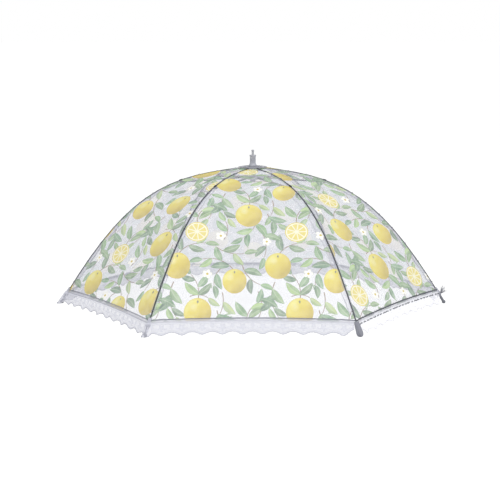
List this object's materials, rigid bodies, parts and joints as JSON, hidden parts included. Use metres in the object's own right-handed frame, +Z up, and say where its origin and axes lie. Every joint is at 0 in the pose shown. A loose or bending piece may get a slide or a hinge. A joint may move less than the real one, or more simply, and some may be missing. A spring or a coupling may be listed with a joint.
{
  "type": "mesh food cover",
  "caption": "Folding umbrella-style mesh cover with wire ribs, a printed net canopy and a lace hem, to stand over food on a table.",
  "frame": {"origin": "on the table, on the cover's middle axis, under the collar", "axes": "+Z up along the plunger, +X towards rib 1, -Y is the side in the picture's foreground"},
  "size_m": [0.6352, 0.551, 0.2528],
  "materials": {
    "rib_steel": "thin dark grey coating on steel wire, satin",
    "bright_steel": "bare steel, satin",
    "grey_plastic": "moulded pale grey plastic",
    "printed_net": null,
    "white_lace": "white raschel lace trim"
  },
  "bodies": {
    "crown": {"crown_hub": "grey_plastic", "crown_ring_wire": "bright_steel", "ferrule_collar": "grey_plastic", "top_cloth_cap": "printed_net"},
    "runner_slider": {"runner": "grey_plastic", "plunger_tube": "bright_steel", "plunger_knob": "grey_plastic"},
    "rib_arm_1": {"rib_1": "rib_steel", "rib_tip_1": "grey_plastic", "rib_clip_1": "bright_steel"},
    "rib_arm_2": {"rib_2": "rib_steel", "rib_tip_2": "grey_plastic", "rib_clip_2": "bright_steel"},
    "rib_arm_3": {"rib_3": "rib_steel", "rib_tip_3": "grey_plastic", "rib_clip_3": "bright_steel"},
    "rib_arm_4": {"rib_4": "rib_steel", "rib_tip_4": "grey_plastic", "rib_clip_4": "bright_steel"},
    "rib_arm_5": {"rib_5": "rib_steel", "rib_tip_5": "grey_plastic", "rib_clip_5": "bright_steel"},
    "rib_arm_6": {"rib_6": "rib_steel", "rib_tip_6": "grey_plastic", "rib_clip_6": "bright_steel"},
    "stretcher_arm_1": {"stretcher_1": "rib_steel"},
    "stretcher_arm_2": {"stretcher_2": "rib_steel"},
    "stretcher_arm_3": {"stretcher_3": "rib_steel"},
    "stretcher_arm_4": {"stretcher_4": "rib_steel"},
    "stretcher_arm_5": {"stretcher_5": "rib_steel"},
    "stretcher_arm_6": {"stretcher_6": "rib_steel"},
    "flap_1_left": {"gore_1_left": "printed_net", "lace_1_left": "white_lace"},
    "flap_2_left": {"gore_2_left": "printed_net", "lace_2_left": "white_lace"},
    "flap_3_left": {"gore_3_left": "printed_net", "lace_3_left": "white_lace"},
    "flap_4_left": {"gore_4_left": "printed_net", "lace_4_left": "white_lace"},
    "flap_5_left": {"gore_5_left": "printed_net", "lace_5_left": "white_lace"},
    "flap_6_left": {"gore_6_left": "printed_net", "lace_6_left": "white_lace"},
    "flap_1_right": {"gore_1_right": "printed_net", "lace_1_right": "white_lace"},
    "flap_2_right": {"gore_2_right": "printed_net", "lace_2_right": "white_lace"},
    "flap_3_right": {"gore_3_right": "printed_net", "lace_3_right": "white_lace"},
    "flap_4_right": {"gore_4_right": "printed_net", "lace_4_right": "white_lace"},
    "flap_5_right": {"gore_5_right": "printed_net", "lace_5_right": "white_lace"},
    "flap_6_right": {"gore_6_right": "printed_net", "lace_6_right": "white_lace"}
  },
  "joints": [
    {"name": "rib_1_fold", "type": "hinge", "parent": "crown", "child": "rib_arm_1", "pos_m": [0.012, 0, 0.22279], "axis": [0, 1, 0], "range_deg": [0, 54]},
    {"name": "rib_2_fold", "type": "hinge", "parent": "crown", "child": "rib_arm_2", "pos_m": [0.006, 0.01039, 0.22279], "axis": [-0.866, 0.5, 0], "range_deg": [0, 54.01]},
    {"name": "rib_3_fold", "type": "hinge", "parent": "crown", "child": "rib_arm_3", "pos_m": [-0.006, 0.01039, 0.22279], "axis": [-0.866, -0.5, 0], "range_deg": [0, 54.01]},
    {"name": "rib_4_fold", "type": "hinge", "parent": "crown", "child": "rib_arm_4", "pos_m": [-0.012, 0, 0.22279], "axis": [0, -1, 0], "range_deg": [0, 54.01]},
    {"name": "rib_5_fold", "type": "hinge", "parent": "crown", "child": "rib_arm_5", "pos_m": [-0.006, -0.01039, 0.22279], "axis": [0.866, -0.5, 0], "range_deg": [0, 54.01]},
    {"name": "rib_6_fold", "type": "hinge", "parent": "crown", "child": "rib_arm_6", "pos_m": [0.006, -0.01039, 0.22279], "axis": [0.866, 0.5, 0], "range_deg": [0, 54.01]},
    {"name": "stretcher_1_swing", "type": "hinge", "parent": "rib_arm_1", "child": "stretcher_arm_1", "pos_m": [0.11602, 0, 0.20048], "axis": [0, -1, 0], "range_deg": [0, 125.26]},
    {"name": "stretcher_2_swing", "type": "hinge", "parent": "rib_arm_2", "child": "stretcher_arm_2", "pos_m": [0.05801, 0.10047, 0.20048], "axis": [0.866, -0.5, 0], "range_deg": [0, 125.26]},
    {"name": "stretcher_3_swing", "type": "hinge", "parent": "rib_arm_3", "child": "stretcher_arm_3", "pos_m": [-0.05801, 0.10047, 0.20048], "axis": [0.866, 0.5, 0], "range_deg": [0, 125.26]},
    {"name": "stretcher_4_swing", "type": "hinge", "parent": "rib_arm_4", "child": "stretcher_arm_4", "pos_m": [-0.11602, 0, 0.20048], "axis": [0, 1, 0], "range_deg": [0, 125.26]},
    {"name": "stretcher_5_swing", "type": "hinge", "parent": "rib_arm_5", "child": "stretcher_arm_5", "pos_m": [-0.05801, -0.10047, 0.20048], "axis": [-0.866, 0.5, 0], "range_deg": [0, 125.26]},
    {"name": "stretcher_6_swing", "type": "hinge", "parent": "rib_arm_6", "child": "stretcher_arm_6", "pos_m": [0.05801, -0.10047, 0.20048], "axis": [-0.866, -0.5, 0], "range_deg": [0, 125.26]},
    {"name": "runner_slide", "type": "slide", "parent": "crown", "child": "runner_slider", "axis": [0, 0, -1], "range_m": [0, 0.17465]},
    {"name": "flap_1_left_fold", "type": "hinge", "parent": "rib_arm_1", "child": "flap_1_left", "pos_m": [0.012, 0.00321, 0.22279], "axis": [-0.4005, -0.8933, -0.2041], "range_deg": [0, 32.18], "deforming": ["gore_1_left", "lace_1_left"]},
    {"name": "flap_2_left_fold", "type": "hinge", "parent": "rib_arm_2", "child": "flap_2_left", "pos_m": [0.00321, 0.012, 0.22279], "axis": [0.5733, -0.7935, -0.2041], "range_deg": [0, 32.18], "deforming": ["gore_2_left", "lace_2_left"]},
    {"name": "flap_3_left_fold", "type": "hinge", "parent": "rib_arm_3", "child": "flap_3_left", "pos_m": [-0.00878, 0.00878, 0.22279], "axis": [0.9739, 0.0998, -0.2041], "range_deg": [0, 32.18], "deforming": ["gore_3_left", "lace_3_left"]},
    {"name": "flap_4_left_fold", "type": "hinge", "parent": "rib_arm_4", "child": "flap_4_left", "pos_m": [-0.012, -0.00321, 0.22279], "axis": [0.4005, 0.8933, -0.2041], "range_deg": [0, 32.18], "deforming": ["gore_4_left", "lace_4_left"]},
    {"name": "flap_5_left_fold", "type": "hinge", "parent": "rib_arm_5", "child": "flap_5_left", "pos_m": [-0.00321, -0.012, 0.22279], "axis": [-0.5733, 0.7935, -0.2041], "range_deg": [0, 32.18], "deforming": ["gore_5_left", "lace_5_left"]},
    {"name": "flap_6_left_fold", "type": "hinge", "parent": "rib_arm_6", "child": "flap_6_left", "pos_m": [0.00878, -0.00878, 0.22279], "axis": [-0.9739, -0.0998, -0.2041], "range_deg": [0, 32.18], "deforming": ["gore_6_left", "lace_6_left"]},
    {"name": "flap_1_right_fold", "type": "hinge", "parent": "rib_arm_2", "child": "flap_1_right", "pos_m": [0.00878, 0.00878, 0.22279], "axis": [0.9739, -0.0998, 0.2041], "range_deg": [0, 32.18], "deforming": ["gore_1_right", "lace_1_right"]},
    {"name": "flap_2_right_fold", "type": "hinge", "parent": "rib_arm_3", "child": "flap_2_right", "pos_m": [-0.00321, 0.012, 0.22279], "axis": [0.5733, 0.7935, 0.2041], "range_deg": [0, 32.18], "deforming": ["gore_2_right", "lace_2_right"]},
    {"name": "flap_3_right_fold", "type": "hinge", "parent": "rib_arm_4", "child": "flap_3_right", "pos_m": [-0.012, 0.00321, 0.22279], "axis": [-0.4005, 0.8933, 0.2041], "range_deg": [0, 32.18], "deforming": ["gore_3_right", "lace_3_right"]},
    {"name": "flap_4_right_fold", "type": "hinge", "parent": "rib_arm_5", "child": "flap_4_right", "pos_m": [-0.00878, -0.00878, 0.22279], "axis": [-0.9739, 0.0998, 0.2041], "range_deg": [0, 32.18], "deforming": ["gore_4_right", "lace_4_right"]},
    {"name": "flap_5_right_fold", "type": "hinge", "parent": "rib_arm_6", "child": "flap_5_right", "pos_m": [0.00321, -0.012, 0.22279], "axis": [-0.5733, -0.7935, 0.2041], "range_deg": [0, 32.18], "deforming": ["gore_5_right", "lace_5_right"]},
    {"name": "flap_6_right_fold", "type": "hinge", "parent": "rib_arm_1", "child": "flap_6_right", "pos_m": [0.012, -0.00321, 0.22279], "axis": [0.4005, -0.8933, 0.2041], "range_deg": [0, 32.18], "deforming": ["gore_6_right", "lace_6_right"]}
  ],
  "couplings": [
    {"joint": "rib_2_fold", "follows": "rib_1_fold", "ratio": 1},
    {"joint": "rib_3_fold", "follows": "rib_1_fold", "ratio": 1},
    {"joint": "rib_4_fold", "follows": "rib_1_fold", "ratio": 1},
    {"joint": "rib_5_fold", "follows": "rib_1_fold", "ratio": 1},
    {"joint": "rib_6_fold", "follows": "rib_1_fold", "ratio": 1},
    {"joint": "stretcher_1_swing", "follows": "rib_1_fold", "ratio": 2.3194},
    {"joint": "stretcher_2_swing", "follows": "rib_1_fold", "ratio": 2.3194},
    {"joint": "stretcher_3_swing", "follows": "rib_1_fold", "ratio": 2.3194},
    {"joint": "stretcher_4_swing", "follows": "rib_1_fold", "ratio": 2.3194},
    {"joint": "stretcher_5_swing", "follows": "rib_1_fold", "ratio": 2.3194},
    {"joint": "stretcher_6_swing", "follows": "rib_1_fold", "ratio": 2.3194},
    {"joint": "runner_slide", "follows": "rib_1_fold", "m_per_rad": 0.18529},
    {"joint": "flap_1_left_fold", "follows": "rib_1_fold", "ratio": 0.59572},
    {"joint": "flap_2_left_fold", "follows": "rib_1_fold", "ratio": 0.59572},
    {"joint": "flap_3_left_fold", "follows": "rib_1_fold", "ratio": 0.59572},
    {"joint": "flap_4_left_fold", "follows": "rib_1_fold", "ratio": 0.59572},
    {"joint": "flap_5_left_fold", "follows": "rib_1_fold", "ratio": 0.59572},
    {"joint": "flap_6_left_fold", "follows": "rib_1_fold", "ratio": 0.59572},
    {"joint": "flap_1_right_fold", "follows": "rib_1_fold", "ratio": 0.59572},
    {"joint": "flap_2_right_fold", "follows": "rib_1_fold", "ratio": 0.59572},
    {"joint": "flap_3_right_fold", "follows": "rib_1_fold", "ratio": 0.59572},
    {"joint": "flap_4_right_fold", "follows": "rib_1_fold", "ratio": 0.59572},
    {"joint": "flap_5_right_fold", "follows": "rib_1_fold", "ratio": 0.59572},
    {"joint": "flap_6_right_fold", "follows": "rib_1_fold", "ratio": 0.59572}
  ]
}
